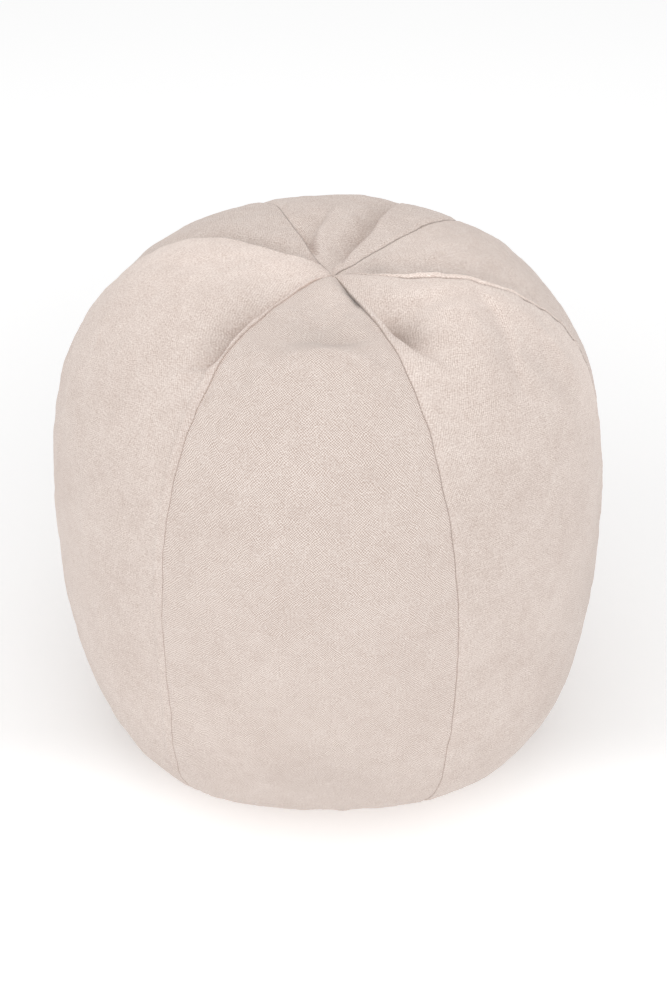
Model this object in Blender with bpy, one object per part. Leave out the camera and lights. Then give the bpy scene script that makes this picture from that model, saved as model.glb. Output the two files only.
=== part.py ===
"""A ball pouf sewn from six cloth gores that meet at a point on top.

Each gore is one closed solid: the gore's outer face, with its share of the filling behind it down
to the pouf's axis. Metres, +Z up, origin on the floor under the axis, front towards -Y.
"""

import math

import bmesh
import bpy
from mathutils import Vector

NAME = "pouf"

# Main sizes
SEAM_RADIUS = 0.248         # axis to a seam, at the widest level
CENTRE_HEIGHT = 0.233       # floor to the widest level
CROWN_HEIGHT = 0.278        # widest level to the crown, before the top is drawn in
BELLY_DEPTH = 0.240         # widest level to where the belly would reach if no floor stopped it
CROWN_POWER = 2.7           # how square the upper half is: 2 is an ellipse
BELLY_POWER = 3.7           # and the lower half
DIMPLE_DEPTH = 0.028        # how far the point where the seams meet is drawn in
DIMPLE_RADIUS = 0.125
SEAM_GAP = 0.00032          # clear space between neighbouring gores

# Where the gores stand proud of their seams, and the channel that each seam pulls in
CROWN_ANGLE = 25.5          # degrees from the top where a gore's crown is proudest
CROWN_SPREAD_UP = 17.5      # degrees over which it fades towards the top
CROWN_SPREAD_DOWN = 28.0    # and towards the side
BELLY_ANGLE = 125.0
BELLY_SPREAD = 20.0
SIDE_FULLNESS = 0.002
SIDE_START = 24.0           # degrees from the top where the sides' fullness sets in
CHANNEL_DEPTH = 0.002
CHANNEL_HALF_WIDTH = 0.007

# Mesh
COLUMNS = 12                # strips across a gore
ROWS = 32                   # strips from the top to the rim of the base
ROW_CROWDING = 1.3          # above 1 the rows are closer together near the top
COLUMN_CROWDING = 80.0      # degrees: the nearer to 90, the closer the columns are at the seams
SHARP_ANGLE = 40.0          # degrees past which an edge is shaded sharp
WELD = 0.00001
AXIS = Vector((0.0, 0.0, 1.0))

CLOTH_COLOUR = (0.70, 0.60, 0.53, 1.0)
CLOTH_ROUGHNESS = 0.9

# Seams, in degrees round the axis from the front (-Y) towards +X
# name: azimuth on the side, azimuth near the top
SEAMS = {
    "front_left": (-33.5, -35.0),
    "front_right": (25.0, 23.0),
    "right": (90.0, 86.0),
    "back_right": (147.0, 130.0),
    "back_left": (206.0, 198.0),
    "left": (260.0, 240.0),
}
LEAN_ANGLE = 40.0           # degrees from the top where a seam is half way between the two

# Gores: name, seam on its left and on its right (seen from outside), crown and belly fullness
GORES = (
    ("gore_front", "front_left", "front_right", 0.008, -0.008),
    ("gore_front_right", "front_right", "right", 0.009, 0.003),
    ("gore_back_right", "right", "back_right", 0.002, 0.001),
    ("gore_back", "back_right", "back_left", 0.001, 0.001),
    ("gore_back_left", "back_left", "left", 0.001, 0.001),
    ("gore_front_left", "left", "front_left", 0.015, 0.0),
)

# Folds on the crown, each a straight trough seen from above, in metres
# x and y where it starts, x and y where it ends, half width, depth
FOLDS = (
    (-0.020, -0.080, 0.015, -0.092, 0.020, 0.008),    # hollow on the front gore
    (-0.060, -0.072, -0.088, -0.114, 0.014, 0.011),   # trough beside the front left seam
    (-0.088, -0.114, -0.108, -0.118, 0.010, 0.004),   # and where it runs out
    (0.013, -0.047, 0.036, -0.098, 0.010, 0.006),     # crease along the front right seam
    (0.051, -0.080, 0.069, -0.115, 0.015, 0.010),     # deep dent beside it
    (0.069, -0.115, 0.087, -0.126, 0.013, 0.005),     # and where it runs out
    (0.057, -0.083, 0.090, -0.042, 0.013, 0.005),     # valley from that dent towards the right
    (0.115, -0.035, 0.140, -0.128, 0.019, 0.005),     # long soft valley, front right gore
    (0.001, 0.019, -0.009, 0.069, 0.010, 0.006),      # back gore, narrow trough
    (0.010, 0.015, 0.046, 0.115, 0.015, 0.009),       # back gore, wide trough
    (-0.005, 0.019, -0.015, 0.050, 0.008, 0.004),     # beside the back left seam
)
FOLD_CLEAR_OF_SEAM = 0.010   # folds fade out this near to a seam
FOLD_CLEAR_OF_TOP = 0.020    # and this near to the point on top


def base_radius(theta):
    """Distance from the centre to the plain round shape, theta radians from the top."""
    upper = math.cos(theta) > 0.0
    height = CROWN_HEIGHT if upper else BELLY_DEPTH
    power = CROWN_POWER if upper else BELLY_POWER
    across = abs(math.sin(theta)) / SEAM_RADIUS
    along = abs(math.cos(theta)) / height
    return (across**power + along**power) ** (-1.0 / power)


def rim_angle():
    """The angle from the top at which the plain shape meets the floor."""
    low, high = math.pi / 2.0, math.pi
    for _ in range(50):
        middle = (low + high) / 2.0
        if -base_radius(middle) * math.cos(middle) < CENTRE_HEIGHT:
            low = middle
        else:
            high = middle
    return low


RIM_ANGLE = rim_angle()


def bump(value, middle, spread):
    """1 at the middle, fading to nothing over the spread."""
    return math.exp(-(((value - middle) / spread) ** 2))


def seam_azimuth(seam, theta):
    """Where a seam runs, in radians round the axis, theta radians from the top."""
    side, top = SEAMS[seam]
    lean = 1.0 / (1.0 + (math.degrees(theta) / LEAN_ANGLE) ** 4)
    return math.radians(side + (top - side) * lean)


def gore_span(left, right, theta):
    """The azimuths of a gore's two seams, the second always past the first."""
    start, end = seam_azimuth(left, theta), seam_azimuth(right, theta)
    if end < start:
        end += 2.0 * math.pi
    return start, end


def fullness(theta, crown, belly):
    """How far the middle of a gore stands out past its seams."""
    angle = math.degrees(theta)
    spread = CROWN_SPREAD_UP if angle < CROWN_ANGLE else CROWN_SPREAD_DOWN
    at_side = SIDE_FULLNESS * (1.0 - bump(angle, 0.0, SIDE_START))
    return crown * bump(angle, CROWN_ANGLE, spread) + belly * bump(angle, BELLY_ANGLE, BELLY_SPREAD) + at_side


def fade_at_rim(theta):
    """1 on the sides and the crown, and 0 where the cloth meets the floor."""
    return 1.0 - max(0.0, (theta - math.pi / 2.0) / (RIM_ANGLE - math.pi / 2.0)) ** 4


def fold_depth(x, y):
    """The sum of the crown's folds at a point seen from above."""
    depth = 0.0
    for x1, y1, x2, y2, half_width, fold in FOLDS:
        along_x, along_y = x2 - x1, y2 - y1
        share = ((x - x1) * along_x + (y - y1) * along_y) / (along_x**2 + along_y**2)
        share = min(1.0, max(0.0, share))
        distance = math.hypot(x - x1 - share * along_x, y - y1 - share * along_y)
        depth += fold * bump(distance, 0.0, half_width)
    return depth


def cover_point(theta, across, gore):
    """A point on a gore's outer face; across runs from -1 on its left seam to 1 on its right."""
    left, right, crown, belly = gore[1:]
    start, end = gore_span(left, right, theta)
    azimuth = start + (end - start) * (across + 1.0) / 2.0
    radius = base_radius(theta)
    reach = radius * math.sin(theta)
    from_seam = reach * (end - start) / 2.0 * (1.0 - abs(across))
    if theta < math.pi / 2.0:
        clear = 1.0 - bump(from_seam, 0.0, FOLD_CLEAR_OF_SEAM)
        clear *= 1.0 - bump(reach, 0.0, FOLD_CLEAR_OF_TOP)
        radius -= clear * fold_depth(reach * math.sin(azimuth), -reach * math.cos(azimuth))
    proud = fullness(theta, crown, belly) * (1.0 - across**2)
    proud -= CHANNEL_DEPTH * bump(from_seam, 0.0, CHANNEL_HALF_WIDTH)
    radius += proud * fade_at_rim(theta) - DIMPLE_DEPTH * bump(reach, 0.0, DIMPLE_RADIUS)
    reach = radius * math.sin(theta)
    height = CENTRE_HEIGHT + radius * math.cos(theta)
    return Vector((reach * math.sin(azimuth), -reach * math.cos(azimuth), height))


def build_gore(gore, collection):
    """Wraps a grid round the wedge: its first and last columns lie on the axis."""
    name, left, right = gore[:3]
    mesh = bmesh.new()
    bmesh.ops.create_grid(mesh, x_segments=COLUMNS + 2, y_segments=ROWS, size=1.0)
    top_height = cover_point(0.0, 0.0, gore).z
    crowd = math.radians(COLUMN_CROWDING)
    for vertex in mesh.verts:
        column = round((vertex.co.x + 1.0) / 2.0 * (COLUMNS + 2))
        row = round((1.0 - vertex.co.y) / 2.0 * ROWS)
        share = row / ROWS
        if column in (0, COLUMNS + 2):
            vertex.co = AXIS * top_height * (1.0 - share)
            continue
        place = 2.0 * (column - 1) / COLUMNS - 1.0
        across = math.sin(place * crowd) / math.sin(crowd)
        vertex.co = cover_point(RIM_ANGLE * share**ROW_CROWDING, across, gore)
        if row == ROWS:
            vertex.co.z = 0.0
    bmesh.ops.remove_doubles(mesh, verts=mesh.verts, dist=WELD)
    bmesh.ops.holes_fill(mesh, edges=mesh.edges, sides=0)
    quads = [face for face in mesh.faces if len(face.verts) == 4]
    bmesh.ops.triangulate(mesh, faces=quads, quad_method="SHORT_EDGE")
    bmesh.ops.recalc_face_normals(mesh, faces=mesh.faces)
    stand_off_axis(mesh, left, right)

    data = bpy.data.meshes.new(name)
    mesh.to_mesh(data)
    mesh.free()
    data.shade_smooth()
    data.set_sharp_from_angle(angle=math.radians(SHARP_ANGLE))
    data.materials.append(cloth_material(name + "_cloth"))
    collection.objects.link(bpy.data.objects.new(name, data))


def stand_off_axis(mesh, left, right):
    """Moves a gore outwards until its walls clear its neighbours' by the seam gap."""
    start, end = gore_span(left, right, math.pi / 2.0)
    middle = (start + end) / 2.0
    distance = SEAM_GAP / 2.0 / math.sin((end - start) / 2.0)
    outwards = Vector((math.sin(middle), -math.cos(middle), 0.0))
    bmesh.ops.translate(mesh, verts=mesh.verts, vec=outwards * distance)


def cloth_material(name):
    """Heavy plain canvas in a pale warm oat."""
    material = bpy.data.materials.new(name)
    material.use_nodes = True
    shader = material.node_tree.nodes["Principled BSDF"]
    shader.inputs["Base Color"].default_value = CLOTH_COLOUR
    shader.inputs["Roughness"].default_value = CLOTH_ROUGHNESS
    shader.inputs["Metallic"].default_value = 0.0
    return material


def main():
    for old in list(bpy.data.objects):
        bpy.data.objects.remove(old, do_unlink=True)
    collection = bpy.data.collections.new(NAME)
    bpy.context.scene.collection.children.link(collection)
    for gore in GORES:
        build_gore(gore, collection)


main()
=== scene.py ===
"""Looks of a ball pouf: six gores of heavy washed canvas, sewn together round a loose filling.

Each gore is drawn again, finer than its CAD solid, as a closed padded wedge. It has the folds that
the slack canvas makes round the point on top, the roll that the seam allowance makes along each
seam, and the uneven swell of the filling. It is then settled a little as cloth, by 1 mm at most.
Metres, +Z up, floor at z = 0, front towards -Y.
"""

import math

import bmesh
import bpy
import numpy as np
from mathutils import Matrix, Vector


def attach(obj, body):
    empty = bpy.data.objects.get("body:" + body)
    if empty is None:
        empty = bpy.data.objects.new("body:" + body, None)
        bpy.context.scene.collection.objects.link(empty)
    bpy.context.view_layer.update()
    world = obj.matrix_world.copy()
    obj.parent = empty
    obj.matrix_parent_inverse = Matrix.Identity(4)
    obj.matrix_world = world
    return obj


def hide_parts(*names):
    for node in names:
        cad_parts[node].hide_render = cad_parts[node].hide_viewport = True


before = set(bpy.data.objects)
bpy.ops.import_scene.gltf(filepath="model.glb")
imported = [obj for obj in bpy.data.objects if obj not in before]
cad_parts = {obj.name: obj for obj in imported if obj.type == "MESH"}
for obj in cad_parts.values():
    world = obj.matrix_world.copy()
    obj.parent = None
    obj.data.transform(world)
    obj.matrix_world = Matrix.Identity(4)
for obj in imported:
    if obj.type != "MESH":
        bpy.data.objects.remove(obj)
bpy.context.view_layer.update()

MM = 0.001

# Round form, the same as the CAD gores'
SEAM_RADIUS = 0.248
CENTRE_HEIGHT = 0.233
CROWN_HEIGHT = 0.278
BELLY_DEPTH = 0.240
CROWN_POWER = 2.7
BELLY_POWER = 3.7
DIMPLE_DEPTH = 0.028
DIMPLE_RADIUS = 0.125
CROWN_ANGLE = 25.5
CROWN_SPREAD_UP = 17.5
CROWN_SPREAD_DOWN = 28.0
BELLY_ANGLE = 125.0
BELLY_SPREAD = 20.0
SIDE_FULLNESS = 0.002
SIDE_START = 24.0
LEAN_ANGLE = 40.0
FLOOR_SOFTNESS = 0.004       # how gradually the cloth turns under onto the floor

# The point on top, drawn a little to one side
POINT_SHIFT = (3.5 * MM, 0.0, 3.0 * MM)
POINT_REACH = 0.045

# Seams: azimuth on the side and near the top, degrees from the front towards +X,
# then the sway of the sewn line: degrees from the top, and shift to the right in mm
SEAMS = {
    "front_left": (-33.5, -35.0, ((0, 0), (5, -5), (8, -5.3), (14, -3.7), (20, -2), (26, -3), (36, -0.5),
                                  (47, 1.2), (70, 1.2), (85, 0.3), (105, 1), (123, -4), (150, 0))),
    "front_right": (25.0, 23.0, ((0, 0), (5, 0.75), (9, 0.8), (12.6, 1.9), (16.5, 3.7), (30, 3.3),
                                 (38, 1.8), (50, -0.8), (60, 0), (84, 2.5), (95, 2.5), (110, -1.5),
                                 (124, -3), (150, 0))),
    "right": (90.0, 86.0, ((4, 0), (8, -5), (11, -8), (14.5, -13.5), (17, -11.5), (20, -9.4), (24.5, -6.4),
                           (27, -9), (31, -7.6), (37, -5.2), (41, -1.4), (45, 2.2), (49, 3.4), (54, 1.2),
                           (57, -1), (61, -2.4), (68, -1.8), (80, 0))),
    "back_right": (147.0, 130.0, ((0, 0), (6, -1.3), (12, 0), (20, 1), (27, 2.6), (35, 3), (60, 0))),
    "back_left": (206.0, 198.0, ((0, 0), (6, 4), (12, 5), (20, 6), (28, 2), (40, 0))),
    "left": (260.0, 240.0, ((0, 0), (3.3, -6.5), (5.4, -4), (7, -3), (10, 0.5), (16, 3), (22, 3), (26, 4.8),
                            (31, 7.5), (36, 8.5), (40, 6.2), (45, 2), (52, 0))),
}

# Gores: seam on the left and on the right as seen from outside, crown and belly fullness
GORES = {
    "gore_front": ("front_left", "front_right", 0.008, -0.008),
    "gore_front_right": ("front_right", "right", 0.008, 0.003),
    "gore_back_right": ("right", "back_right", 0.002, 0.001),
    "gore_back": ("back_right", "back_left", 0.001, 0.001),
    "gore_back_left": ("back_left", "left", 0.001, 0.001),
    "gore_front_left": ("left", "front_left", 0.010, 0.0),
}

# Shoulders and grooves that follow a seam: gore, which edge (-1 left, 1 right), then distance from
# the axis, height, distance from the seam, spread towards the seam and spread away from it, mm
SHOULDERS = (
    ("gore_front_left", -1, ((12, 0, 3, 8, 30), (45, 4, 4, 10, 36), (90, 5.2, 6, 12, 46),
                             (150, 4.4, 8, 14, 50), (195, 2, 10, 14, 60), (235, 0, 12, 14, 60))),
    ("gore_back_left", 1, ((12, -1, 0, 4, 8), (40, -5, 0, 4, 13), (90, -7, 0, 4, 18), (150, -5, 0, 4, 22),
                           (200, 0, 0, 4, 24))),
    ("gore_front_right", 1, ((15, 0, 4, 6, 24), (60, 2.5, 6, 8, 34), (120, 3, 8, 10, 44),
                             (155, 2.4, 9, 12, 44), (185, 0.8, 10, 12, 44), (210, 0, 12, 12, 44))),
    ("gore_back_right", -1, ((12, -1, 4, 2, 8), (45, -4, 8, 2.5, 14), (70, -5, 11, 2.6, 17),
                             (92, -5.5, 13, 2.6, 18), (130, -5, 10, 2.6, 20), (155, -4, 9, 2.6, 22),
                             (180, -1.8, 8, 3, 22), (200, -0.4, 7, 3, 22), (215, 0, 7, 3, 22))),
)

# Folds of the slack canvas, in mm seen from above. Each has how far it spreads to its left and to
# its right, as one walks from its first point to its last, and points of x, y and depth.
# A depth below 0 is a ridge.
FOLDS = {
    "gore_front": (
        (16, 14, ((-6, -22, -1.5), (0, -34, -4.0), (6, -44, -2.0))),
        (36, 8, ((-42, -114, 1.0), (-26, -111, 5.5), (-10, -110, 9.0), (8, -111, 9.6), (22, -108, 7.0),
                 (33, -99, 2.0))),
        (5, 20, ((-44, -141, 0), (-26, -130, -2.4), (-8, -127, -3.2), (10, -128, -3.0), (32, -132, -1.4))),
        (6, 6, ((2, -94, 0.6), (13, -72, 2.0), (22, -54, 1.8))),
        (6, 6, ((-72, -126, 0.0), (-66, -140, 2.0), (-58, -152, 1.0), (-52, -160, 0.0))),
    ),
    "gore_front_left": (
        (2.4, 17, ((-24, -22, 0.0), (-38, -42, 4.0), (-56, -66, 8.0), (-68, -83, 12.0), (-77, -96, 14.5),
                   (-83, -107, 14.0), (-90, -115, 10.0), (-99, -120, 5.0), (-114, -119, 0.0))),
        (2.5, 3, ((-79, -106, 0.0), (-87, -115.5, 2.4), (-96, -120.5, 2.6), (-108, -121, 0.0))),
    ),
    "gore_front_right": (
        (15, 3.5, ((24, -40, 0.0), (36, -58, 5.0), (45, -74, 10.0), (53, -87, 15.5), (59, -97, 19.0),
                   (65, -104, 16.0), (73, -111, 9.0), (82, -117, 4.5), (94, -124, 0.0))),
        (10, 12, ((58, -86, 4.0), (73, -67, 7.2), (87, -53, 6.2), (99, -44, 3.6), (113, -36, 0.0))),
        (5, 18, ((116, -16, 0.0), (123, -34, 3.0), (134, -56, 5.0), (141, -71, 5.5), (145, -87, 5.2),
                 (148, -103, 4.5), (153, -117, 2.5), (158, -130, 0.0))),
        (12, 12, ((152, -76, 0.0), (165, -86, 3.0), (180, -86, 3.4), (195, -82, 3.0), (208, -76, 0.0))),
        (12, 12, ((140, -34, 0.0), (160, -50, -2.0), (186, -57, -2.8), (212, -54, 0.0))),
        (5, 5, ((66, -16, 1.5), (74, -24, 1.8), (83, -33, 0.0))),
    ),
    "gore_back_right": (
        (12, 8, ((16, 8, 1.0), (38, 12, 3.0), (70, 12, 3.5), (100, 11, 3.0), (130, 10, 1.5), (160, 8, 0.0))),
    ),
    "gore_back": (
        (13, 4, ((-15, 38, 1.5), (-16, 52, 6.5), (-14, 68, 8.5), (-8, 84, 6.5), (1, 106, 3.0),
                 (9, 128, 0.0))),
        (15, 3.4, ((7, 20, 4.0), (14, 34, 9.0), (23, 48, 12.0), (33, 65, 13.5), (42, 89, 13.5),
                   (53, 119, 10.5), (62, 142, 6.0), (70, 165, 0.0))),
        (6, 6, ((-31, 80, 0.0), (-25, 66, 4.0), (-19, 52, 4.0), (-13, 38, 2.0))),
    ),
    "gore_back_left": (
        (9, 9, ((-12, 25, 2.0), (-24, 32, 4.0), (-41, 38, 5.0), (-60, 47, 4.0), (-78, 56, 2.0),
                (-96, 64, 0.0))),
    ),
}
FOLD_CLEAR_OF_SEAM = 2.5 * MM    # folds fade out this near to a seam
FOLD_CLEAR_OF_TOP = 8.0 * MM
FOLD_SAMPLES = 48                # points along each fold's curve
FOLD_BLEND = 7.0 * MM            # how far the neighbouring parts of a fold run into one another

# How far each sewn line is pulled in on its left and on its right, and how far that spreads:
# distance from the axis, depth left, depth right, spread left, spread right, mm
SEAM_PULLS = {
    "front_left": ((0, 2, 2, 6, 6), (30, 0.7, 1.0, 3, 5), (130, 0.7, 1.0, 3, 4), (250, 1, 1, 4, 4)),
    "front_right": ((0, 2, 2, 6, 6), (20, 1.2, 0.3, 6, 1.4), (45, 1.0, 0, 6, 1.1), (75, 1.0, 0, 6, 1.1),
                    (92, 0.9, 0, 6, 1.1), (108, 0.8, 0.2, 5, 1.4), (130, 0.8, 0.5, 4, 2),
                    (250, 0.8, 0.6, 4, 3)),
    "right": ((0, 2, 2, 6, 6), (30, 1, 0.8, 2, 1.2), (180, 1, 0.8, 2, 1.2), (250, 0.8, 0.8, 3, 2)),
    "back_right": ((0, 2, 2, 6, 6), (30, 1.5, 1.5, 5, 5), (250, 1, 1, 4, 4)),
    "back_left": ((0, 3, 3, 6, 6), (30, 4, 3, 6, 9), (60, 2, 2, 5, 7), (250, 1, 1, 4, 4)),
    "left": ((0, 2, 2, 6, 6), (30, 1, 0, 4, 3), (180, 1, 0, 4, 3), (235, 1, 1, 4, 4)),
}

# Where a seam gapes between slack edges: distance from the axis and clear space, mm
SEAM_OPENINGS = {
    "right": ((15, 0), (35, 0.4), (68, 0.9), (76, 1.2), (90, 0.7), (140, 0.7), (165, 0.5), (185, 0.3),
              (215, 0.3), (228, 0.5), (236, 0.5), (244, 0.1)),
    "back_left": ((15, 0), (35, 0.4), (90, 0.3), (150, 0)),
    "back_right": ((15, 0), (40, 0.4), (160, 0.4), (200, 0)),
    "front_right": ((10, 0), (25, 0.3), (45, 0.8), (62, 1.0), (78, 0.8), (94, 0.5), (108, 0.2), (150, 0)),
}

# The roll that the seam allowance makes beside a seam, on the gore that it is pressed under: gore, which
# edge (-1 left, 1 right), how flat its top is (0.5 is round, less is flatter), whether it stands at full
# height at the seam, how much paler it is as painted highlight, how much darker the painted shadow line
# along its far side is, how far out on the roll that line runs (1 is its far side), then distance from the
# axis, height and width, mm
ALLOWANCE_ROLLS = (
    ("gore_front_right", -1, 0.4, True, 0.05, 0.0, 1.0,
     ((8, 0, 3), (16, 0.2, 6), (30, 0.3, 8), (60, 0.3, 10), (100, 0.7, 11), (130, 0.8, 12), (160, 0.6, 12),
      (250, 0.5, 8))),
    ("gore_front_left", 1, 0.35, True, 0.03, 0.12, 1.0,
     ((8, 0, 2), (20, 0.9, 2.8), (40, 1.2, 3.2), (90, 1.4, 3.6), (120, 1.8, 4.5), (150, 1.6, 7),
      (180, 0.7, 8), (250, 0.4, 8))),
    ("gore_front_left", -1, 0.35, True, 0.02, 0.10, 1.0,
     ((10, 0, 2), (25, 0.8, 3), (100, 0.8, 3.6), (130, 0.4, 4), (170, 0, 4), (250, 0, 4))),
    ("gore_back_right", -1, 0.2, True, 0.24, 0.42, 0.76,
     ((12, 0, 2), (42, 0.8, 4.8), (56, 1.8, 6.6), (70, 2.0, 8.4), (92, 2.2, 9.4), (110, 2.0, 8.4),
      (130, 1.9, 7.4), (160, 1.3, 6.2), (190, 0.7, 5), (220, 0.4, 4), (250, 0.3, 4))),
    ("gore_back_left", 1, 0.5, False, 0.0, 0.0, 1.0,
     ((8, 0, 2), (30, 1.4, 3.5), (60, 1.6, 3.5), (85, 0.8, 4), (250, 0.4, 8))),
    ("gore_back", -1, 0.5, False, 0.0, 0.0, 1.0, ((20, 0, 4), (60, 0.8, 7), (250, 0.4, 8))),
)
ROLL_LINE_WIDTH = 1.3 * MM
ROLL_FULL_TONE = 2.0 * MM    # the height at which a roll has all of its tone

# Painted shade beside a seam: gore, which edge, then distance from the axis in mm, how much darker, and how
# far that spreads in mm
SEAM_SIDE_SHADE = (
    ("gore_front", 1, ((12, 0, 5), (25, 0.22, 6), (45, 0.70, 5.4), (60, 0.74, 3.6), (70, 0.42, 2.4),
                       (80, 0.26, 1.8), (93, 0.08, 1.6), (106, 0, 1.6))),
    ("gore_back_right", -1, ((150, 0, 1.2), (190, 0.04, 1.2), (225, 0.06, 1.2), (245, 0.04, 1.2))),
    ("gore_front_right", 1, ((120, 0, 1.2), (165, 0.10, 1.2), (190, 0.12, 1.2), (225, 0.16, 1.4),
                             (245, 0.1, 1.6))),
    ("gore_back_left", 1, ((12, 0, 4), (30, 0.08, 5), (60, 0.10, 7), (130, 0.12, 9), (165, 0.06, 9),
                           (190, 0, 8))),
)

# Where the filling sits unevenly: azimuth and angle from the top, how far it spreads, degrees,
# and how far the cover is pushed out, mm
BULGES = (
    (283, 78, 22, -1.5),
    (294, 119, 15, -4.2),
    (325, 131, 14, 4.0),
    (2, 134, 13, -2.2),
    (27, 132, 7, -1.2),
    (41, 130, 10, 1.0),
    (71, 114, 12, -2.0),
    (75, 96, 14, 1.4),
    (80, 69, 12, -1.4),
    (98, 57, 8, 1.4),
    (114, 43, 9, -2.5),
    (127, 38, 9, 1.8),
    (164, 37, 6, 1.3),
    (178, 34, 20, -2.6),
    (198, 35, 9, 1.8),
    (219, 33, 9, -1.2),
    (258, 46, 12, -0.7),
    (272, 52, 8, 2.6),
)

# Edge of a gore where it turns in to the seam
LIP_RADIUS = 0.6 * MM
LIP_DEPTH = 4.0 * MM
LIP_RATE = 8.0               # how soon away from the two ends the edge has its full depth
SEAM_GAP = 0.14 * MM

# Uneven swell of the filling, and the puckers that the stitching draws along the seams
SWELL = ((0.11, 0.7), (0.048, 0.5), (0.022, 0.22))    # wavelength m, height mm
SWELL_WAVES = 5
SWELL_TURN = 2.399           # from one wave to the next, radians
PUCKER_HEIGHT = 0.35 * MM
PUCKER_REACH = 9.0 * MM
PUCKER_FROM_SEAM = 4.0 * MM
PUCKER_LENGTHS = (0.019, 0.083, 0.14)    # one pucker, and the two lengths over which they change
PUCKER_CLEAR_OF_SEAM = 2.0 * MM
PUCKER_CLEAR_OF_TOP = 0.04
CLOTH_PER_RADIAN = 0.25      # metres of cloth along a gore for each radian from the top
SEAM_WANDER = 0.35 * MM
WANDER_RATES = (23.0, 51.0)  # waves a radian, times two pi
WANDER_CLEAR_OF_TOP = 0.03
SMALLEST_REACH = 0.004

# Where shapes and tones end on the way down: degrees from the top, and over how many they fade
TOP_END = (100.0, 10.0)
SIDE_END = (150.0, 15.0)
BASE_END = (180.0, 60.0)
CREASE_SHADE_END = (90.0, 10.0)
SEAM_TONE_END = (80.0, 30.0)
SEAM_TONE_LEAST = 0.25       # what is left of the seams' tones lower down

# Painted light and shade on each gore, paler where a tone is above 0 and darker where it is below: soft
# patches of azimuth, angle from the top, spread in degrees, and tone
PAINTED_PATCHES = {
    "gore_front": ((0, 12, 10, 0.05), (356, 24, 5, -0.06), (0, 112, 12, -0.05)),
    "gore_front_right": ((75, 18, 14, 0.10), (75, 40, 20, 0.06), (30, 30, 14, 0.05), (32, 24, 3.5, -0.12),
                         (69, 30, 6, 0.03), (57, 23, 6, 0.05), (76, 95, 14, -0.06), (80, 9, 4, 0.07),
                         (86, 54, 12, 0.12), (58, 104, 16, -0.03)),
    "gore_back_right": ((100, 25, 20, 0.03), (138, 20, 9, 0.06), (97, 8.5, 3, -0.14)),
    "gore_back": (),
    "gore_back_left": ((244, 16, 12, -0.07), (206, 15, 5, 0.04)),
    "gore_front_left": ((262, 22, 17, 0.12), (272, 7, 7, 0.12), (285, 35, 20, 0.04)),
}

# Painted shade: the cloth is darkened close to the floor
RIM_SHADE = -0.11             # how much duller the cloth is close to the floor
RIM_SHADE_END = (132.0, 26.0)
# Painted shade in the folds, darker the deeper they are
CREASE_SHADE = -0.010         # how much darker each mm of a fold's depth makes it
# Painted highlight on the shoulders, paler the higher they stand
SHOULDER_HIGHLIGHT = 0.016          # and how much paler each mm that a shoulder stands up
# Partly the dark thread of each seam and partly painted shade where the cloth dips into it
SEAM_TONE = {                # how much darker the cloth is where it dips into each seam, on top
    "front_left": 0.02,
    "front_right": 0.10,
    "right": 0.30,
    "back_right": 0.24,
    "back_left": 0.18,
    "left": 0.25,
}
SEAM_TONE_WIDTH = 0.6 * MM
WEAVE = {                    # how much of the weave shows through the nap
    "gore_front": 1.25,
    "gore_front_right": 0.45,
    "gore_back_right": 0.4,
    "gore_back": 0.5,
    "gore_back_left": 0.45,
    "gore_front_left": 0.36,
}

# Mesh
EDGE_COLUMNS = (0.0, 0.07, 0.22, 0.45, 0.75, 1.1, 1.6, 2.3, 3.2, 4.1, 5.0, 5.9, 6.8, 7.7, 8.6, 9.6, 10.8,
                12.4, 14.2)    # mm from the seam
INNER_COLUMNS = 60
LEAST_HALF_WIDTH = 1e-6
OPENING_SHARE = 0.2          # the most of half a gore that a seam's opening may take
EDGE_SHRINK_WIDTH = 0.030    # the edge columns crowd in where half a gore is narrower than this
ROW_BANDS = ((0.0, 12.0, 40), (12.0, 50.0, 120), (50.0, 118.0, 90), (118.0, 140.0, 26), (140.0, 180.0, 18))
WELD = 0.000002
SHORTEST_EDGE = 0.000001

# The push of the filling on the slack canvas, worked out as cloth on a coarse panel for each gore
FILLING_PRESSURE = 4.0
CLOTH_ROWS = 64
CLOTH_COLUMNS = 21
CLOTH_FIRST, CLOTH_LAST = 3.0, 125.0    # degrees from the top, where the panel is held
CLOTH_EDGE = 0.985                      # how near to its seams it is held
CLOTH_FRAMES = 20
CLOTH_QUALITY = 6
CLOTH_LIMIT = 1.0 * MM                  # the most that the canvas may move
CLOTH_FADE = 6.0 * MM                   # how near to a seam the movement dies away


# ---------------------------------------------------------------- form of the cover

def bump(value, spread):
    """1 at nothing, fading over the spread."""
    return np.exp(-((value / spread) ** 2))


def above(theta, end):
    """1 on the way down from the top, fading to 0 where the end says, in degrees."""
    last, spread = end
    return np.clip((last - np.degrees(theta)) / spread, 0.0, 1.0)


def along(table, distance, column):
    """Reads a column of a table of (distance in mm, ...) at distances in metres."""
    stations = [row[0] * MM for row in table]
    return np.interp(distance, stations, [row[column] * MM for row in table])


def base_radius(theta):
    """Distance from the centre to the plain round form, theta radians from the top."""
    upper = np.cos(theta) > 0.0
    height = np.where(upper, CROWN_HEIGHT, BELLY_DEPTH)
    power = np.where(upper, CROWN_POWER, BELLY_POWER)
    out = np.abs(np.sin(theta)) / SEAM_RADIUS
    up = np.abs(np.cos(theta)) / height
    return (out**power + up**power) ** (-1.0 / power)


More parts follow.
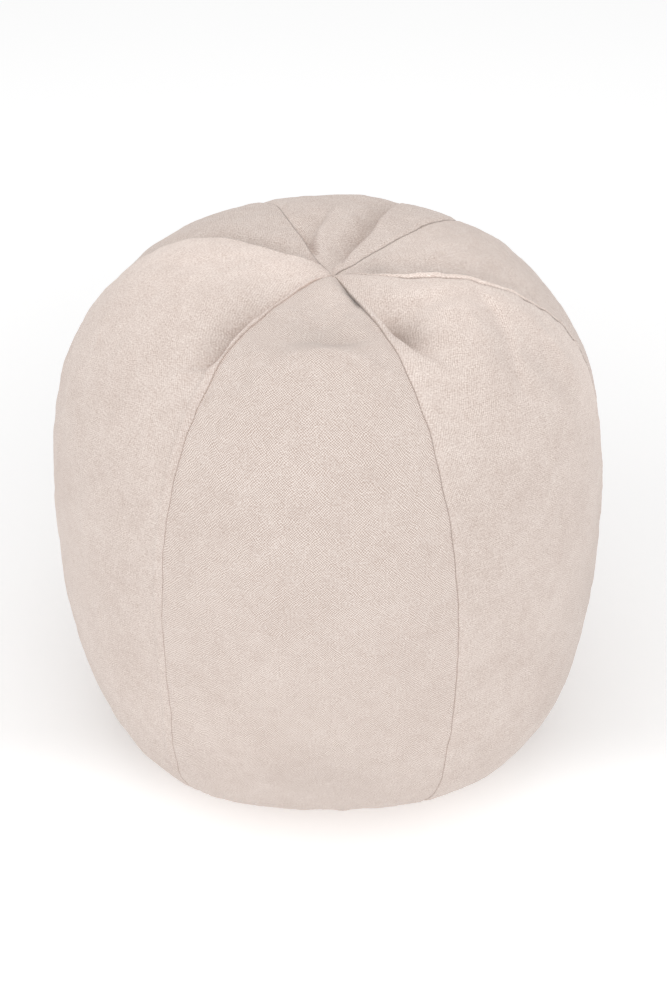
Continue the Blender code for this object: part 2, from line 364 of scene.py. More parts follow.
def seam_azimuth(seam, theta):
    """Where a sewn line runs, radians round the axis, with its sway and its small wander."""
    side, top, sway = SEAMS[seam]
    lean = 1.0 / (1.0 + (np.degrees(theta) / LEAN_ANGLE) ** 4)
    azimuth = np.radians(side + (top - side) * lean)
    reach = np.maximum(base_radius(theta) * np.sin(theta), SMALLEST_REACH)
    phase = sum(seam.encode()) * 0.7
    slow, quick = WANDER_RATES
    shift = SEAM_WANDER * (np.sin(theta * slow + phase) + 0.7 * np.sin(theta * quick + 2.1 * phase))
    shift = shift * (1.0 - bump(reach, WANDER_CLEAR_OF_TOP))
    angles, shifts = zip(*sway)
    shift = shift + np.interp(np.degrees(theta), angles, shifts) * MM
    return azimuth + shift / reach


def gore_span(gore, theta):
    left, right = GORES[gore][:2]
    start, end = seam_azimuth(left, theta), seam_azimuth(right, theta)
    return start, np.where(end < start, end + 2.0 * math.pi, end)


def patches(azimuth, theta, places):
    """Sum of soft round patches of (azimuth, angle from the top, spread, amount)."""
    total = np.zeros(np.broadcast(azimuth, theta).shape)
    for turn, tilt, spread, amount in places:
        turn, tilt = math.radians(turn), math.radians(tilt)
        near = np.cos(theta) * math.cos(tilt) + np.sin(theta) * math.sin(tilt) * np.cos(azimuth - turn)
        total += amount * np.exp(-2.0 * (1.0 - near) / math.radians(spread) ** 2)
    return total


def bulge_height(azimuth, theta):
    return patches(azimuth, theta, BULGES) * MM


def fullness(theta, crown, belly):
    """How far the middle of a gore stands out past its seams."""
    angle = np.degrees(theta)
    spread = np.where(angle < CROWN_ANGLE, CROWN_SPREAD_UP, CROWN_SPREAD_DOWN)
    side = SIDE_FULLNESS * (1.0 - bump(angle, SIDE_START)) * above(theta, BASE_END)
    return crown * bump(angle - CROWN_ANGLE, spread) + belly * bump(angle - BELLY_ANGLE, BELLY_SPREAD) + side


def smooth_path(points):
    """Samples a fold's points along a smooth curve; gives x, y and depth in metres."""
    points = np.array(points, dtype=float) * MM
    stations = np.append(0.0, np.cumsum(np.hypot(*np.diff(points[:, :2], axis=0).T)))
    slopes = np.gradient(points, stations, axis=0)
    place = np.linspace(0.0, stations[-1], FOLD_SAMPLES)
    before = np.clip(np.searchsorted(stations, place, side="right") - 1, 0, len(stations) - 2)
    step = (stations[before + 1] - stations[before])[:, None]
    t = ((place - stations[before])[:, None]) / step
    return (
        (2 * t**3 - 3 * t**2 + 1) * points[before]
        + (t**3 - 2 * t**2 + t) * step * slopes[before]
        + (3 * t**2 - 2 * t**3) * points[before + 1]
        + (t**3 - t**2) * step * slopes[before + 1]
    )


def fold_depth(x, y, folds):
    """Sum of a gore's folds at points seen from above."""
    total = np.zeros_like(x)
    for spread_left, spread_right, points in folds:
        path = smooth_path(points)
        run = np.gradient(path[:, :2], axis=0)
        run /= np.linalg.norm(run, axis=1, keepdims=True)
        off_x, off_y = x[..., None] - path[:, 0], y[..., None] - path[:, 1]
        square = off_x**2 + off_y**2
        nearest = square.min(-1)
        weight = np.exp(-(square - nearest[..., None]) / FOLD_BLEND**2)
        weight /= weight.sum(-1, keepdims=True)
        depth = (weight * path[:, 2]).sum(-1)
        side = (weight * (run[:, 0] * off_y - run[:, 1] * off_x)).sum(-1)
        share = np.clip(0.5 + side / (2.0 * MM), 0.0, 1.0)
        spread = (spread_right + (spread_left - spread_right) * share) * MM
        total += depth * np.exp(-nearest / spread**2)
    return total


def roll_height(gore, edge, distance, reach):
    """The allowance roll along one edge of a gore."""
    height = np.zeros_like(distance)
    for owner, side, flatness, flush, _, _, _, table in ALLOWANCE_ROLLS:
        if owner == gore and side == edge:
            share = np.clip(distance / along(table, reach, 2), 0.5 if flush else 0.0, 1.0)
            height = along(table, reach, 1) * np.maximum(4.0 * share * (1.0 - share), 0.0) ** flatness
    return height


def seam_shade(gore, theta, place, reach):
    """Painted shade in each seam, along the far side of each allowance roll and beside some seams, and
    painted highlight on the rolls.
    """
    shade = np.zeros_like(place)
    on_top = np.maximum(above(theta, SEAM_TONE_END), SEAM_TONE_LEAST)
    for seam, edge, distance in zip(GORES[gore][:2], (-1, 1), (place - place[:, :1], place[:, -1:] - place)):
        shade -= SEAM_TONE[seam] * on_top * bump(distance, SEAM_TONE_WIDTH)
        for owner, side, _, _, pale, line, line_place, table in ALLOWANCE_ROLLS:
            if owner == gore and side == edge:
                from_line = distance - along(table, reach, 2) * line_place
                full = np.minimum(along(table, reach, 1) / ROLL_FULL_TONE, 1.0)
                paler = pale * np.clip(-from_line / MM, 0.0, 1.0)
                shade += full * (paler - line * bump(from_line, ROLL_LINE_WIDTH))
        for owner, side, table in SEAM_SIDE_SHADE:
            if owner == gore and side == edge:
                shade -= along(table, reach, 1) / MM * on_top * bump(distance, along(table, reach, 2))
    return shade


def shoulder_height(gore, edge, distance, reach):
    """The shoulders and grooves along one edge of a gore."""
    height = np.zeros_like(distance)
    for owner, side, table in SHOULDERS:
        if owner == gore and side == edge:
            beyond = distance - along(table, reach, 2)
            spread = np.where(beyond < 0.0, along(table, reach, 3), along(table, reach, 4))
            height = height + along(table, reach, 1) * bump(beyond, spread)
    return height


def swell(points):
    """Soft irregular bumps all round, the same for neighbouring gores."""
    x, y, z = points[..., 0], points[..., 1], points[..., 2]
    total = np.zeros_like(x)
    for step, (wavelength, height) in enumerate(SWELL):
        k = 2.0 * math.pi / wavelength
        wave = np.zeros_like(x)
        for turn in range(SWELL_WAVES):
            a = SWELL_TURN * (turn + 1) + 1.3 * step
            b = 0.9 * math.sin(3.7 * turn + step)
            across = x * math.cos(a) * math.cos(b) + y * math.sin(a) * math.cos(b) + z * math.sin(b)
            wave = wave + np.sin(k * across + 5.1 * turn + 2.7 * step + 1.6 * wave)
        total = total + wave * height * MM / 3.0
    return total


def plain_radius(gore, theta, across, azimuth):
    """Distance from the centre to a gore before its folds and its edges are shaped."""
    crown, belly = GORES[gore][2:]
    reach = base_radius(theta) * np.sin(theta)
    on_top = above(theta, TOP_END)
    radius = base_radius(theta) + bulge_height(azimuth, theta)
    radius = radius + fullness(theta, crown, belly) * (1.0 - across**2)
    return radius - DIMPLE_DEPTH * bump(reach, DIMPLE_RADIUS) * on_top


def cover_point(gore, theta, across, half_width, plain=False):
    """Points on a gore's outer face; across runs from -1 on its left seam to 1 on its right."""
    left, right = GORES[gore][:2]
    start, end = gore_span(gore, theta)
    azimuth = start + (end - start) * (across + 1.0) / 2.0
    reach = base_radius(theta) * np.sin(theta) + 0.0 * across
    from_left = half_width * (1.0 + across)
    from_right = half_width * (1.0 - across)
    from_seam = np.minimum(from_left, from_right)
    on_top = above(theta, TOP_END)
    on_side = above(theta, SIDE_END)

    radius = plain_radius(gore, theta, across, azimuth)
    height = radius * np.cos(theta)
    plan_x, plan_y = radius * np.sin(theta) * np.sin(azimuth), -radius * np.sin(theta) * np.cos(azimuth)
    clear = (1.0 - bump(from_seam, FOLD_CLEAR_OF_SEAM)) * (1.0 - bump(reach, FOLD_CLEAR_OF_TOP))
    radius = radius - on_top * clear * fold_depth(plan_x, plan_y, FOLDS[gore])
    for seam, edge, distance in ((left, -1, from_left), (right, 1, from_right)):
        table = SEAM_PULLS[seam]
        spread = along(table, reach, 4 if edge < 0 else 3)
        radius = radius - along(table, reach, 2 if edge < 0 else 1) * bump(distance, spread) * on_side
        radius = radius + roll_height(gore, edge, distance, reach) * on_side
        radius = radius + shoulder_height(gore, edge, distance, reach) * on_top
    if not plain:
        place = np.stack([plan_x, plan_y, height], -1)
        radius = radius + swell(place) * on_side * (1.0 - 0.6 * bump(reach, 0.05))
        run = 2 * math.pi * theta * CLOTH_PER_RADIAN
        one, drift, change = PUCKER_LENGTHS
        for seam, distance in ((left, from_left), (right, from_right)):
            phase = sum(seam.encode()) * 0.37
            wave = np.sin(run / one + phase + 1.5 * np.sin(run / drift + phase))
            wave = wave * (0.6 + 0.4 * np.sin(run / change + 2 * phase))
            pucker = PUCKER_HEIGHT * wave * bump(distance - PUCKER_FROM_SEAM, PUCKER_REACH) * on_side
            pucker = pucker * (1.0 - bump(distance, PUCKER_CLEAR_OF_SEAM))
            radius = radius + pucker * (1.0 - bump(reach, PUCKER_CLEAR_OF_TOP))
    lip = np.clip(1.0 - from_seam / LIP_RADIUS, 0.0, 1.0)
    radius = radius - LIP_RADIUS * (1.0 - np.sqrt(1.0 - lip**2))

    reach = radius * np.sin(theta)
    height = CENTRE_HEIGHT + radius * np.cos(theta)
    height = (height + np.sqrt(height**2 + FLOOR_SOFTNESS**2)) / 2.0
    at_point = bump(reach, POINT_REACH) * (theta < math.pi / 2.0)
    x = reach * np.sin(azimuth) + POINT_SHIFT[0] * at_point
    y = -reach * np.cos(azimuth) + POINT_SHIFT[1] * at_point
    return np.stack([x, y, height + POINT_SHIFT[2] * at_point], -1)


# ---------------------------------------------------------------- gores

def row_angles():
    angles = [np.linspace(first, last, count, endpoint=False) for first, last, count in ROW_BANDS]
    return np.radians(np.append(np.concatenate(angles), 180.0))


def gore_grid(gore):
    """The outer face's points, its rows' angles, and for each point its place across and half width."""
    theta = row_angles()[:, None]
    start, end = gore_span(gore, theta)
    reach = base_radius(theta) * np.sin(theta)
    half_width = np.maximum(reach * (end - start) / 2.0, LEAST_HALF_WIDTH)
    edge = np.array(EDGE_COLUMNS)[None, :] * MM * np.minimum(1.0, half_width / EDGE_SHRINK_WIDTH)
    on_top = theta < math.pi / 2.0
    edges = []
    for seam in GORES[gore][:2]:
        opening = along(SEAM_OPENINGS[seam], reach, 1) * on_top if seam in SEAM_OPENINGS else 0.0
        edges.append(edge + np.minimum((SEAM_GAP + opening) / 2.0, half_width * OPENING_SHARE))
    first, last = -half_width + edges[0], half_width - edges[1]
    share = np.linspace(0.0, 1.0, INNER_COLUMNS + 1)[None, 1:-1]
    inner = first[:, -1:] + (last[:, -1:] - first[:, -1:]) * share
    place = np.concatenate([first, inner, last[:, ::-1]], 1)
    across = place / half_width
    return theta, across, half_width, place


def from_centre(points):
    """Directions from the middle of the pouf out through the points."""
    outwards = points - np.array([0.0, 0.0, CENTRE_HEIGHT])
    return outwards / np.linalg.norm(outwards, axis=-1, keepdims=True)


def cloth_panel(gore):
    """A gore's outer face as a coarse open panel, with its edge points marked to be held."""
    theta = np.radians(np.linspace(CLOTH_FIRST, CLOTH_LAST, CLOTH_ROWS))[:, None]
    start, end = gore_span(gore, theta)
    half_width = base_radius(theta) * np.sin(theta) * (end - start) / 2.0
    across = np.linspace(-CLOTH_EDGE, CLOTH_EDGE, CLOTH_COLUMNS)[None, :] + 0.0 * theta
    points = cover_point(gore, theta, across, half_width, plain=True)
    corner = np.arange(CLOTH_ROWS * CLOTH_COLUMNS).reshape(CLOTH_ROWS, CLOTH_COLUMNS)
    faces = np.stack([corner[:-1, :-1], corner[1:, :-1], corner[1:, 1:], corner[:-1, 1:]], -1).reshape(-1, 4)
    mesh = bpy.data.meshes.new(gore + "_panel")
    mesh.from_pydata(points.reshape(-1, 3).tolist(), [], faces.tolist())
    panel = bpy.data.objects.new(gore + "_panel", mesh)
    bpy.context.scene.collection.objects.link(panel)
    held = np.unique(np.concatenate([corner[0], corner[-1], corner[:, 0], corner[:, -1]]))
    panel.vertex_groups.new(name="held").add([int(number) for number in held], 1.0, "REPLACE")
    return panel, points


def filled_lift(gore):
    """How far the filling pushes each point of a gore's coarse panel out, settled as cloth."""
    panel, points = cloth_panel(gore)
    outwards = from_centre(points)
    normals = np.array([face.normal for face in panel.data.polygons])
    if (normals.mean(0) * outwards.mean((0, 1))).sum() < 0.0:
        panel.data.flip_normals()
    cloth = panel.modifiers.new("filling", "CLOTH")
    cloth.settings.vertex_group_mass = "held"
    cloth.settings.use_pressure = True
    cloth.settings.uniform_pressure_force = FILLING_PRESSURE
    cloth.settings.effector_weights.gravity = 0.0
    cloth.settings.quality = CLOTH_QUALITY
    cloth.point_cache.frame_start, cloth.point_cache.frame_end = 1, CLOTH_FRAMES
    scene = bpy.context.scene
    for step in range(1, CLOTH_FRAMES + 1):
        scene.frame_set(step)
    settled = panel.evaluated_get(bpy.context.evaluated_depsgraph_get()).to_mesh()
    moved = np.zeros(points.size)
    settled.vertices.foreach_get("co", moved)
    mesh = panel.data
    bpy.data.objects.remove(panel, do_unlink=True)
    bpy.data.meshes.remove(mesh)
    scene.frame_set(1)
    lift = ((moved.reshape(points.shape) - points) * outwards).sum(-1)
    return np.clip(lift, -CLOTH_LIMIT, CLOTH_LIMIT)


def spline_steps(place, count):
    """The four coarse stations round each place along a smooth curve, and their shares."""
    place = np.clip(place, 0.0, count - 1.0)
    before = np.floor(place).astype(int)
    t = place - before
    shares = ((1 - t) ** 3, 3 * t**3 - 6 * t**2 + 4, -3 * t**3 + 3 * t**2 + 3 * t + 1, t**3)
    return [(np.clip(before + step - 1, 0, count - 1), share / 6.0) for step, share in enumerate(shares)]


def push_out(gore, outer, theta, across, half_width):
    """Carries the coarse panel's lift over to the fine outer face."""
    lift = filled_lift(gore)
    row = (np.degrees(theta) - CLOTH_FIRST) / (CLOTH_LAST - CLOTH_FIRST) * (CLOTH_ROWS - 1)
    column = (across / CLOTH_EDGE + 1.0) / 2.0 * (CLOTH_COLUMNS - 1)
    amount = np.zeros_like(across)
    for row_number, row_share in spline_steps(row, CLOTH_ROWS):
        for column_number, column_share in spline_steps(column, CLOTH_COLUMNS):
            amount += row_share * column_share * lift[row_number, column_number]
    amount *= 1.0 - bump(half_width * (1.0 - np.abs(across)), CLOTH_FADE)
    return outer + from_centre(outer) * amount[..., None]


def build_gore(gore):
    """A closed wedge: outer face, edges turned in, and walls back to the axis."""
    theta, across, half_width, place = gore_grid(gore)
    outer = cover_point(gore, theta, across, half_width)
    outer = push_out(gore, outer, theta, across, half_width)
    outer[..., 2] = np.maximum(outer[..., 2] - outer[-1, 0, 2], 0.0)
    rows = len(outer)

    depth = LIP_DEPTH * np.clip(np.sin(theta) * LIP_RATE, 0.0, 1.0)
    turned = outer - from_centre(outer) * depth[..., None]
    share = np.linspace(1.0, 0.0, rows)
    axis = np.zeros((rows, 1, 3))
    axis[:, 0, :2] = POINT_SHIFT[:2]
    axis[:, 0, :] *= share[:, None]
    axis[:, 0, 2] = outer[0, 0, 2] * share
    grid = np.concatenate([axis, turned[:, :1], outer, turned[:, -1:], axis], 1)
    wide = grid.shape[1]
    corner = np.arange(rows * wide).reshape(rows, wide)
    faces = np.stack([corner[:-1, :-1], corner[1:, :-1], corner[1:, 1:], corner[:-1, 1:]], -1).reshape(-1, 4)

    mesh = bpy.data.meshes.new(gore + "_canvas")
    mesh.from_pydata(grid.reshape(-1, 3).tolist(), [], faces.tolist())
    write_painted_light(mesh, gore, theta, across, place, wide)
    write_maps(mesh, faces, outer, place, half_width, wide)
    close_up(mesh)
    piece = bpy.data.objects.new(gore + "_cover", mesh)
    bpy.context.scene.collection.objects.link(piece)
    return piece


def write_painted_light(mesh, gore, theta, across, place, wide):
    """The painted light and shade on each part of a gore, and how much of the weave shows."""
    start, end = gore_span(gore, theta)
    azimuth = start + (end - start) * (across + 1.0) / 2.0
    shade = np.zeros((len(place), wide))
    reach = base_radius(theta) * np.sin(theta)
    level = plain_radius(gore, theta, across, azimuth) * np.sin(theta)
    depth = fold_depth(level * np.sin(azimuth), -level * np.cos(azimuth), FOLDS[gore]) / MM
    depth = depth * above(theta, CREASE_SHADE_END)
    half_width = np.maximum(reach * (end - start) / 2.0, LEAST_HALF_WIDTH)
    stand = shoulder_height(gore, -1, half_width * (1.0 + across), reach)
    stand = (stand + shoulder_height(gore, 1, half_width * (1.0 - across), reach)) / MM
    stand = stand * above(theta, TOP_END)
    # Painted light and shade: patches on each gore, painted shade in folds by their depth, painted highlight
    # on raised shoulders, painted shade in and beside the seams and close to the floor
    shade[:, 2:-2] = patches(azimuth, theta, PAINTED_PATCHES[gore]) + CREASE_SHADE * depth + SHOULDER_HIGHLIGHT * stand
    shade[:, 2:-2] += seam_shade(gore, theta, place, reach)
    shade[:, 2:-2] += RIM_SHADE * (1.0 - above(theta, RIM_SHADE_END))
    shade[:, :2], shade[:, -2:] = shade[:, 2:3], shade[:, -3:-2]
    for name, values in (("PaintedLightShade", shade), ("Weave", np.full(shade.shape, WEAVE[gore]))):
        layer = mesh.attributes.new(name, "FLOAT", "POINT")
        layer.data.foreach_set("value", values.astype(np.float32).ravel())


WALL_GRAIN = 0.02            # how far the grain runs on down an edge wall
MAP_MARGIN = 0.004
MAP_BAND_STEP = 0.492        # from one band of the map to the next
MAP_BAND_WIDTH = 0.480
MAP_CUT = 0.47               # how far down the gore the first band ends
MAP_LIP_WIDTH = 0.002
MAP_WALL = (0.99, 0.998)     # the strip that the walls take: its outer side and its side at the axis


def write_maps(mesh, faces, outer, place, half_width, wide):
    """The map of the cloth's own grain, in metres, and the map that fills a square for baking."""
    rows, columns = outer.shape[:2]
    middle = outer[:, columns // 2]
    length = np.concatenate([[0.0], np.cumsum(np.linalg.norm(np.diff(middle, axis=0), axis=1))])
    grain = np.zeros((rows, wide, 2))
    grain[:, 2:-2, 0] = place
    grain[:, 1, 0], grain[:, 0, 0] = place[:, 0] - LIP_DEPTH, place[:, 0] - LIP_DEPTH - WALL_GRAIN
    grain[:, -2, 0], grain[:, -1, 0] = place[:, -1] + LIP_DEPTH, place[:, -1] + LIP_DEPTH + WALL_GRAIN
    grain[..., 1] = length[:, None]

    widest = half_width.max()
    stretch = (half_width / widest) ** 0.5
    across = place / half_width
    cut = int(np.searchsorted(length, length[-1] * MAP_CUT))
    bake = np.zeros((2, rows, wide, 2))
    for band, (first, last) in enumerate(((0, cut), (cut, rows - 1))):
        left = band * MAP_BAND_STEP + MAP_MARGIN
        right = left + MAP_BAND_WIDTH
        run = (length - length[first]) / (length[last] - length[first])
        bake[band, :, 2:-2, 0] = (left + right) / 2.0 + across * stretch * (right - left) / 2.0
        bake[band, :, 1, 0] = bake[band, :, 2, 0] - MAP_LIP_WIDTH
        bake[band, :, -2, 0] = bake[band, :, -3, 0] + MAP_LIP_WIDTH
        bake[band, :, :, 1] = (MAP_MARGIN + (1.0 - 2.0 * MAP_MARGIN) * run)[:, None]
    face_row = faces[:, 0] // wide
    face_column = faces[:, 0] % wide
    loop_band = np.repeat((face_row >= cut).astype(int), 4)
    loop_corner = faces.reshape(-1)
    loop_row, loop_column = loop_corner // wide, loop_corner % wide
    bake_uv = bake[loop_band, loop_row, loop_column]
    is_wall = np.repeat((face_column == 0) | (face_column == wide - 2), 4)
    inner_side = (loop_column == 0) | (loop_column == wide - 1)
    wall_run = length[loop_row] / length[-1]
    bake_uv[is_wall, 0] = np.where(inner_side, MAP_WALL[1], MAP_WALL[0])[is_wall]
    bake_uv[is_wall, 1] = (MAP_MARGIN + (1.0 - 2.0 * MAP_MARGIN) * wall_run)[is_wall]
    for name, values in (("Grain", grain[loop_row, loop_column]), ("OFBake", bake_uv)):
        layer = mesh.uv_layers.new(name=name)
        layer.data.foreach_set("uv", values.astype(np.float32).ravel())
    mesh.uv_layers["Grain"].active_render = True


def close_up(mesh):
    """Merges the corners that meet at the two points and on the axis, and turns faces outwards."""
    work = bmesh.new()
    work.from_mesh(mesh)
    bmesh.ops.remove_doubles(work, verts=work.verts, dist=WELD)
    bmesh.ops.dissolve_degenerate(work, edges=work.edges, dist=SHORTEST_EDGE)
    bmesh.ops.recalc_face_normals(work, faces=work.faces)
    work.to_mesh(mesh)
    work.free()
    mesh.shade_smooth()


# ---------------------------------------------------------------- canvas

THREAD_PITCH = 1.1 * MM
CANVAS_DARK = (0.505, 0.392, 0.338, 1.0)
CANVAS_LIGHT = (0.880, 0.790, 0.732, 1.0)
CANVAS_ROUGHNESS = 0.92
CANVAS_SPECULAR = 0.25
SHEEN_WEIGHT = 0.12
SHEEN_ROUGHNESS = 0.6
THREAD_WAVER = 0.0036        # how far the threads stray, metres
THREAD_WAVER_SCALE = 110.0
SLUB_STRETCH = 16.0          # how many times longer than wide a slub is
WEAVE_SHOWS = (0.30, 0.55)   # at least, and the rest where the nap is worn away
WORN_RANGE = (0.38, 0.60)
LINT_RANGE = (0.70, 0.80)
THREAD_WAVER_DETAIL = 2.0
# Unevenness of the canvas: how many a metre, detail, roughness
CANVAS_NOISE = {
    "worn": (55.0, 4.0, 0.6),
    "slub": (60.0, 2.0, 0.5),
    "clouds": (16.0, 5.0, 0.6),
    "mottle": (90.0, 3.0, 0.6),
    "speckle": (620.0, 1.0, 0.5),
    "lint": (260.0, 1.0, 0.5),
}
# How much each changes the tone of the cloth
SLUB_WARP_TONE = 0.30
SLUB_WEFT_TONE = 0.25
CLOUD_TONE = 0.42
MOTTLE_TONE = 0.34
SPECKLE_TONE = 1.15
LINT_TONE = 0.25
# How much each raises the relief of the cloth, and the whole relief in metres
DOME_RELIEF = 0.6
SLUB_WARP_RELIEF = 0.5
SLUB_WEFT_RELIEF = 0.4
SPECKLE_RELIEF = 0.5
RELIEF_STRENGTH = 0.5
RELIEF_DEPTH = 0.00025


def canvas_material(name):
    """Heavy washed canvas: plain weave of a pinkish warp and a cream weft, brushed and mottled, its colour
    scaled by the painted light and shade of each gore.
    """
    material = bpy.data.materials.new(name)
    material.use_nodes = True
    tree = material.node_tree
    nodes, links = tree.nodes, tree.links
    shader = nodes["Principled BSDF"]
    shader.inputs["Roughness"].default_value = CANVAS_ROUGHNESS
    shader.inputs["Specular IOR Level"].default_value = CANVAS_SPECULAR
    shader.inputs["Sheen Weight"].default_value = SHEEN_WEIGHT
    shader.inputs["Sheen Roughness"].default_value = SHEEN_ROUGHNESS

    grain = nodes.new("ShaderNodeUVMap")
    grain.uv_map = "Grain"

    def math_node(operation, first, second=None, clamp=False):
        node = nodes.new("ShaderNodeMath")
        node.operation = operation
        node.use_clamp = clamp
        for socket, value in zip(node.inputs, (first, second)):
            if value is None:
                continue
            if isinstance(value, (int, float)):
                socket.default_value = value
            else:
                links.new(value, socket)
        return node.outputs[0]

    def noise(kind, vector, stretch=None):
        scale, detail, roughness = CANVAS_NOISE[kind]
        if stretch:
            mapping = nodes.new("ShaderNodeMapping")
            mapping.inputs["Scale"].default_value = stretch
            links.new(vector, mapping.inputs["Vector"])
            vector = mapping.outputs["Vector"]
        node = nodes.new("ShaderNodeTexNoise")
        node.inputs["Scale"].default_value = scale
        node.inputs["Detail"].default_value = detail
        node.inputs["Roughness"].default_value = roughness
        links.new(vector, node.inputs["Vector"])
        return node.outputs["Fac"]

    def ramp(value, limits):
        node = nodes.new("ShaderNodeMapRange")
        node.interpolation_type = "SMOOTHSTEP"
        node.inputs["From Min"].default_value, node.inputs["From Max"].default_value = limits
        links.new(value, node.inputs["Value"])
        return node.outputs[0]

    place = grain.outputs["UV"]
    waver = nodes.new("ShaderNodeTexNoise")
    waver.inputs["Scale"].default_value = THREAD_WAVER_SCALE
    waver.inputs["Detail"].default_value = THREAD_WAVER_DETAIL
    links.new(place, waver.inputs["Vector"])
    wobble = nodes.new("ShaderNodeVectorMath")
    wobble.operation = "MULTIPLY_ADD"
    links.new(waver.outputs["Color"], wobble.inputs[0])
    wobble.inputs[1].default_value = (THREAD_WAVER, THREAD_WAVER, 0.0)
    links.new(place, wobble.inputs[2])
    threads = nodes.new("ShaderNodeSeparateXYZ")
    links.new(wobble.outputs[0], threads.inputs[0])
    warp = math_node("SINE", math_node("MULTIPLY", threads.outputs["X"], math.pi / THREAD_PITCH))
    weft = math_node("SINE", math_node("MULTIPLY", threads.outputs["Y"], math.pi / THREAD_PITCH))
    checks = math_node("MULTIPLY", warp, weft)

    worn = ramp(noise("worn", place), WORN_RANGE)
    slub_warp = noise("slub", place, (SLUB_STRETCH, 1.0, 1.0))
    slub_weft = noise("slub", place, (1.0, SLUB_STRETCH, 1.0))
    clouds = noise("clouds", place)
    mottle = noise("mottle", place)
    speckle = noise("speckle", place)
    lint = ramp(noise("lint", place), LINT_RANGE)

    weave = nodes.new("ShaderNodeAttribute")
    weave.attribute_name = "Weave"
    least, rest = WEAVE_SHOWS
    bare = math_node("ADD", math_node("MULTIPLY", worn, rest), least)
    showing = math_node("MULTIPLY", weave.outputs["Fac"], bare)
    tone = math_node("ADD", math_node("MULTIPLY", checks, showing), 0.5)
    tones = ((slub_warp, SLUB_WARP_TONE), (slub_weft, SLUB_WEFT_TONE), (clouds, CLOUD_TONE),
             (mottle, MOTTLE_TONE), (speckle, SPECKLE_TONE))
    for value, weight in tones:
        lift = math_node("MULTIPLY", math_node("SUBTRACT", value, 0.5), weight)
        tone = math_node("ADD", tone, lift)
    tone = math_node("ADD", tone, math_node("MULTIPLY", lint, LINT_TONE))
    mix = nodes.new("ShaderNodeMix")
    mix.data_type = "RGBA"
    links.new(math_node("MAXIMUM", math_node("MINIMUM", tone, 1.0), 0.0), mix.inputs["Factor"])
    mix.inputs[6].default_value = CANVAS_DARK
    mix.inputs[7].default_value = CANVAS_LIGHT
    # Painted light and shade: the cloth's colour is scaled by one plus this attribute
    painted_light_shade = nodes.new("ShaderNodeAttribute")
    painted_light_shade.attribute_name = "PaintedLightShade"
    shaded_colour = nodes.new("ShaderNodeVectorMath")
    shaded_colour.operation = "SCALE"
    links.new(mix.outputs[2], shaded_colour.inputs[0])
    links.new(math_node("ADD", painted_light_shade.outputs["Fac"], 1.0), shaded_colour.inputs["Scale"])
    links.new(shaded_colour.outputs[0], shader.inputs["Base Color"])

    domes = math_node("ABSOLUTE", checks)
    height = math_node("MULTIPLY", domes, DOME_RELIEF)
    reliefs = ((slub_warp, SLUB_WARP_RELIEF), (slub_weft, SLUB_WEFT_RELIEF), (speckle, SPECKLE_RELIEF))
    for value, share in reliefs:
        height = math_node("ADD", height, math_node("MULTIPLY", value, share))
    relief = nodes.new("ShaderNodeBump")
    relief.inputs["Strength"].default_value = RELIEF_STRENGTH
    relief.inputs["Distance"].default_value = RELIEF_DEPTH
    links.new(height, relief.inputs["Height"])
    links.new(relief.outputs["Normal"], shader.inputs["Normal"])
    return material


# ---------------------------------------------------------------- room

# Lights: azimuth and elevation in degrees, strength in watts
LAMPS = {
    "key": (-62.0, 42.0, 8.6),
    "fill": (30.0, 42.0, 8.2),
    "overhead": (0.0, 85.0, 12.0),
    "side": (95.0, 35.0, 2.0),
}
LAMP_SIZE = 1.8
LAMP_DISTANCE = 2.4
LAMP_AIM = (0.0, 0.0, 0.2)
WORLD_STRENGTH = 0.62
FLOOR_HALF = 6.0
FLOOR_COLOUR = (0.93, 0.93, 0.93)
# Floor glow: all over, then in front and far out, with where each starts, where it is full, and how much
FLOOR_GLOW = 0.14
FLOOR_GLOW_FRONT = (-0.06, -0.18, 0.20)
FLOOR_GLOW_FAR = (0.40, 1.20, 0.12)

CAMERA_ELEVATION = 39.7      # degrees
CAMERA_DISTANCE = 1.5
CAMERA_LENS = 57.9
CAMERA_SENSOR = 36.0
CAMERA_SHIFT = 0.0053


def white_material(name, colour):
    material = bpy.data.materials.new(name)
    material.use_nodes = True
    shader = material.node_tree.nodes["Principled BSDF"]
    shader.inputs["Base Color"].default_value = (*colour, 1.0)
    shader.inputs["Roughness"].default_value = 1.0
    shader.inputs["Specular IOR Level"].default_value = 0.0
    return material


def look_at(thing, target):
    direction = Vector(target) - thing.location
    thing.rotation_euler = direction.to_track_quat("-Z", "Y").to_euler()


def build_camera():
    """Looks down at the front gore from about forty degrees."""
    elevation = math.radians(CAMERA_ELEVATION)
    data = bpy.data.cameras.new("camera")
    data.sensor_fit = "VERTICAL"
    data.sensor_height = CAMERA_SENSOR
    data.lens = CAMERA_LENS
    data.shift_x = CAMERA_SHIFT
    data.shift_y = CAMERA_SHIFT
    camera = bpy.data.objects.new("camera", data)
    bpy.context.scene.collection.objects.link(camera)
    level, rise = math.cos(elevation) * CAMERA_DISTANCE, math.sin(elevation) * CAMERA_DISTANCE
    camera.location = (0.0, -level, CENTRE_HEIGHT + rise)
    look_at(camera, (0.0, 0.0, CENTRE_HEIGHT))
    bpy.context.scene.camera = camera


def build_lamp(name):
    """A large square softbox turned to the pouf."""
    azimuth, elevation, strength = LAMPS[name]
    azimuth, elevation = math.radians(azimuth), math.radians(elevation)
    data = bpy.data.lights.new(name, "AREA")
    data.shape = "SQUARE"
    data.size = LAMP_SIZE
    data.energy = strength
    lamp = bpy.data.objects.new(name, data)
    bpy.context.scene.collection.objects.link(lamp)
    level = math.cos(elevation) * LAMP_DISTANCE
    rise = math.sin(elevation) * LAMP_DISTANCE
    lamp.location = (level * math.sin(azimuth), -level * math.cos(azimuth), LAMP_AIM[2] + rise)
    look_at(lamp, LAMP_AIM)


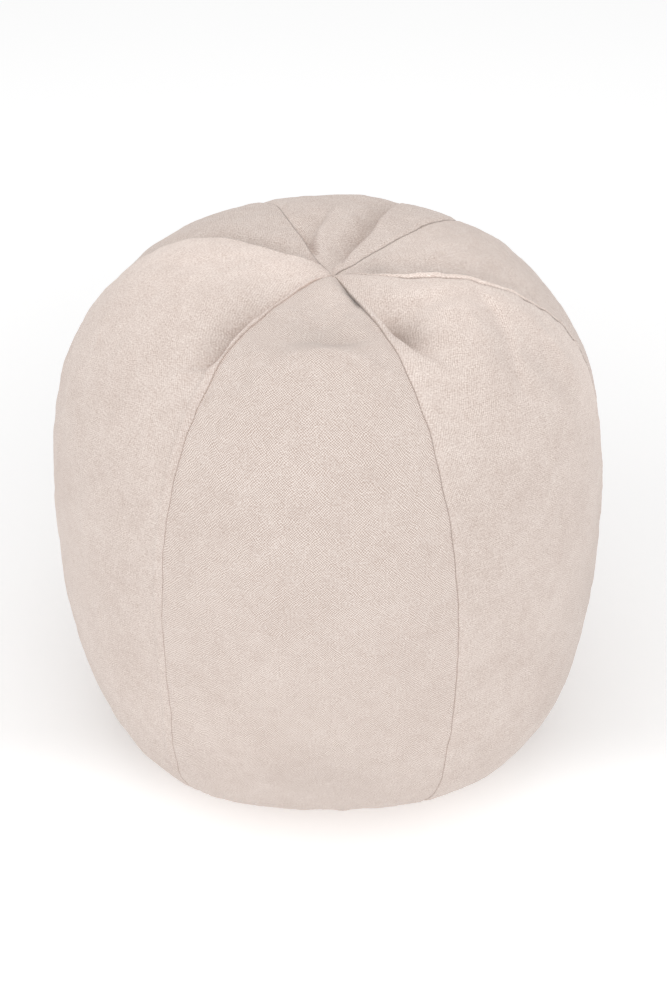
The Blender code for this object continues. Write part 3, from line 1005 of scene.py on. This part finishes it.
def build_room():
    """White floor that glows a little all over and more in front and far out, and soft studio light."""
    mesh = bpy.data.meshes.new("floor")
    far = FLOOR_HALF
    mesh.from_pydata([(-far, -far, 0), (far, -far, 0), (far, far, 0), (-far, far, 0)], [], [(0, 1, 2, 3)])
    white = white_material("floor_white", FLOOR_COLOUR)
    glow = white.node_tree.nodes["Principled BSDF"]
    glow.inputs["Emission Color"].default_value = (1.0, 1.0, 1.0, 1.0)
    nodes, links = white.node_tree.nodes, white.node_tree.links
    place = nodes.new("ShaderNodeTexCoord")
    distance = nodes.new("ShaderNodeVectorMath")
    distance.operation = "LENGTH"
    links.new(place.outputs["Object"], distance.inputs[0])
    split = nodes.new("ShaderNodeSeparateXYZ")
    links.new(place.outputs["Object"], split.inputs[0])
    total = nodes.new("ShaderNodeMath")
    total.operation = "ADD"
    glows = ((distance.outputs["Value"], FLOOR_GLOW_FAR), (split.outputs["Y"], FLOOR_GLOW_FRONT))
    for step, (value, (start, full, gain)) in enumerate(glows):
        fade = nodes.new("ShaderNodeMapRange")
        fade.interpolation_type = "SMOOTHSTEP"
        fade.inputs["From Min"].default_value = start
        fade.inputs["From Max"].default_value = full
        fade.inputs["To Min"].default_value = 0.0
        fade.inputs["To Max"].default_value = gain
        links.new(value, fade.inputs["Value"])
        links.new(fade.outputs[0], total.inputs[step])
    base = nodes.new("ShaderNodeMath")
    base.operation = "ADD"
    base.inputs[1].default_value = FLOOR_GLOW
    links.new(total.outputs[0], base.inputs[0])
    links.new(base.outputs[0], glow.inputs["Emission Strength"])
    mesh.materials.append(white)
    floor = bpy.data.objects.new("floor", mesh)
    bpy.context.scene.collection.objects.link(floor)
    world = bpy.data.worlds.new("studio")
    world.use_nodes = True
    background = world.node_tree.nodes["Background"]
    background.inputs["Color"].default_value = (1.0, 1.0, 1.0, 1.0)
    background.inputs["Strength"].default_value = WORLD_STRENGTH
    bpy.context.scene.world = world
    for name in LAMPS:
        build_lamp(name)


# ---------------------------------------------------------------- assembly

build_camera()
bpy.context.scene.view_settings.view_transform = "Standard"
build_room()
canvas = canvas_material("washed_canvas")
for gore in GORES:
    cover = build_gore(gore)
    cover.data.materials.append(canvas)
    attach(cover, "root")
    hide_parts(gore)
